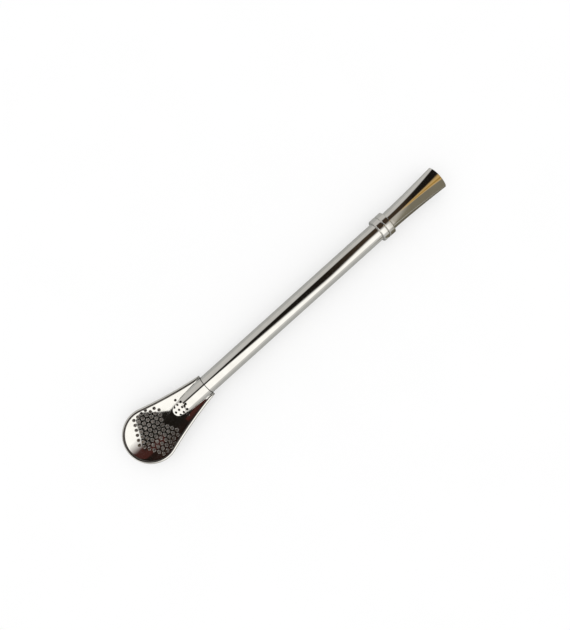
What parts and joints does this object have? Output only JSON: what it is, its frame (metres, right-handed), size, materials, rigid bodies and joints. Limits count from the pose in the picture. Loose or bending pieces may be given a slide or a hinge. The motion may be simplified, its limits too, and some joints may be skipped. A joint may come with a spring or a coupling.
{
  "type": "bombilla drinking straw",
  "caption": "Metal drinking straw for mate: round stem with raised rings, flattened mouthpiece, and a pull-off hemmed spoon with a perforated strainer face at its foot.",
  "frame": {"origin": "on the ground under the middle of the straw, which lies on its rings and on the back of its spoon", "axes": "+X along the stem towards the mouthpiece, +Z out of the perforated strainer face"},
  "size_m": [0.1718, 0.0238, 0.0103],
  "materials": {
    "polished_steel": "mirror-polished stainless steel"
  },
  "bodies": {
    "straw": {"stem_tube": "polished_steel", "mouthpiece": "polished_steel", "lower_ring": "polished_steel", "upper_ring": "polished_steel"},
    "spoon": {"strainer_leaf": "polished_steel", "back_leaf": "polished_steel"}
  },
  "joints": [
    {"name": "spoon_pull", "type": "slide", "parent": "straw", "child": "spoon", "axis": [-1, 0, 0], "range_m": [0, 0.06]}
  ]
}
